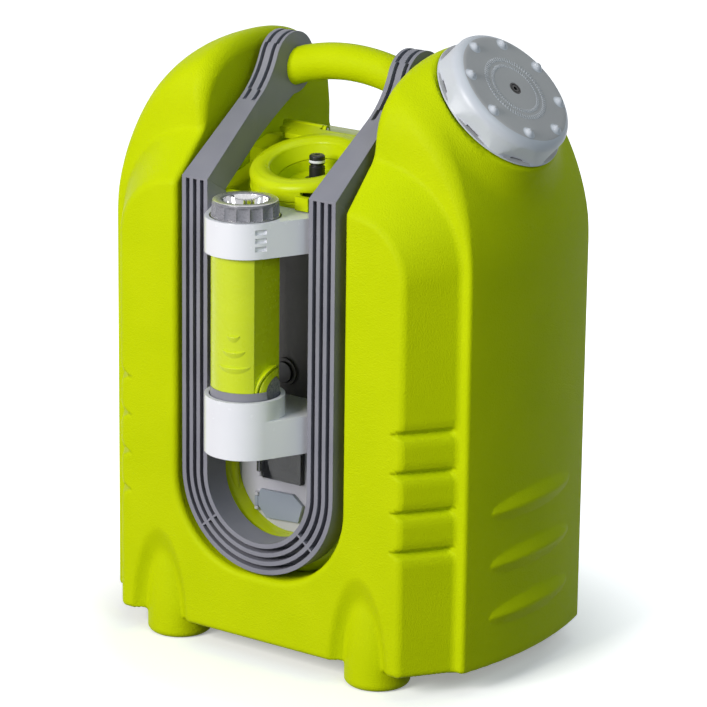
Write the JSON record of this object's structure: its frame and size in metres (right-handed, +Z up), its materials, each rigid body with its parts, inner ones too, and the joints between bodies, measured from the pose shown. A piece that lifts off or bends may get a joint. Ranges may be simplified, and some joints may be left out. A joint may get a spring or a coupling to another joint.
{
  "type": "portable pressure washer",
  "caption": "Portable outdoor washer: twin-lobe water tank with screw cap, grey U frame with handle, hose-well lid and a spray gun stowed in holders.",
  "frame": {"origin": "centre of the bounding box on the ground, under the feet", "axes": "+Z up, the spray gun side faces -Y, the filler cap is on +X"},
  "size_m": [0.3682, 0.2806, 0.492],
  "materials": {
    "tank_green": "satin, fine pebble grain",
    "trim_green": "smooth",
    "frame_grey": "satin",
    "cap_grey": "satin",
    "holder_white": "smooth",
    "panel_grey": "satin",
    "bay_grey": "satin",
    "flap_grey": "satin",
    "dark_plastic": "satin",
    "black_rubber": "matt",
    "clear_plastic": "clear",
    "chrome_funnel": "mirror",
    "steel": "brushed",
    "brass": "turned",
    "battery_blue": "satin",
    "board_green": "satin",
    "filter_mesh": "satin"
  },
  "bodies": {
    "base": {"tank_shell": "tank_green", "front_frame": "frame_grey", "frame_screws": "steel", "handle_grip": "trim_green", "handle_bolts": "steel", "module_housing": "trim_green", "rear_cover": "trim_green", "cover_screws": "steel", "hose_lid_pins": "steel", "hose_nipple": "dark_plastic", "nipple_ring": "holder_white", "upper_holder": "holder_white", "lower_cup": "holder_white", "holder_screws": "steel", "gun_bay_panel": "bay_grey", "control_panel": "panel_grey", "socket_frame": "dark_plastic", "socket_body": "dark_plastic", "window_pin": "steel", "flap_pin": "steel", "button_bezel": "bay_grey", "switch_housing": "dark_plastic", "charge_socket": "dark_plastic", "control_board": "board_green", "battery_pack": "battery_blue", "pump_head": "dark_plastic", "pump_motor": "steel", "inlet_pipe": "black_rubber", "outlet_pipe": "black_rubber", "tank_outlet": "dark_plastic", "outlet_nut": "brass", "inlet_filter": "filter_mesh"},
    "cap_collar": {"cap_gasket": "black_rubber"},
    "cap": {"filler_cap": "cap_grey", "cap_vent_insert": "dark_plastic", "cap_vent_valve": "black_rubber"},
    "lid": {"hose_lid": "trim_green"},
    "latch": {"lid_latch": "trim_green"},
    "gun": {"gun_body": "trim_green", "gun_collar": "panel_grey", "gun_inlet": "dark_plastic", "gun_knuckle_discs": "frame_grey", "gun_knuckle_screws": "steel", "gun_jet_disc": "panel_grey"},
    "nozzle_ring": {"gun_nozzle_ring": "frame_grey", "gun_jet_funnel": "chrome_funnel"},
    "window": {"window_cover": "clear_plastic"},
    "flap": {"charge_flap": "flap_grey"},
    "button": {"power_button": "dark_plastic"}
  },
  "joints": [
    {"name": "cap_lift", "type": "slide", "parent": "base", "child": "cap_collar", "axis": [0.7071, 0, 0.7071], "range_m": [0, 0.015]},
    {"name": "cap_turn", "type": "hinge", "parent": "cap_collar", "child": "cap", "pos_m": [0.1484, 0.02335, 0.4563], "axis": [0.7071, 0, 0.7071], "range_deg": [0, 900]},
    {"name": "lid_hinge", "type": "hinge", "parent": "base", "child": "lid", "pos_m": [-0.0021, 0.02135, 0.401], "axis": [-1, 0, 0], "range_deg": [0, 75]},
    {"name": "latch_push", "type": "slide", "parent": "base", "child": "latch", "axis": [0, 1, 0], "range_m": [0, 0.003], "stiffness_N_per_m": 300, "springref_m": -0.001},
    {"name": "gun_lift", "type": "slide", "parent": "base", "child": "gun", "axis": [0, 0, 1], "range_m": [0, 0.185]},
    {"name": "nozzle_turn", "type": "hinge", "parent": "gun", "child": "nozzle_ring", "pos_m": [-0.0021, -0.10965, 0.368], "axis": [0, 0, 1], "range_deg": [-60, 60]},
    {"name": "window_hinge", "type": "hinge", "parent": "base", "child": "window", "pos_m": [-0.0281, -0.05665, 0.153], "axis": [0, 0, -1], "range_deg": [0, 100]},
    {"name": "flap_hinge", "type": "hinge", "parent": "base", "child": "flap", "pos_m": [-0.0321, -0.05425, 0.1175], "axis": [0, 0, -1], "range_deg": [0, 60]},
    {"name": "power_press", "type": "slide", "parent": "base", "child": "button", "axis": [0, 1, 0], "range_m": [0, 0.002], "stiffness_N_per_m": 400, "springref_m": -0.001}
  ],
  "couplings": [
    {"joint": "cap_lift", "follows": "cap_turn", "m_per_rad": 0.00095493}
  ]
}
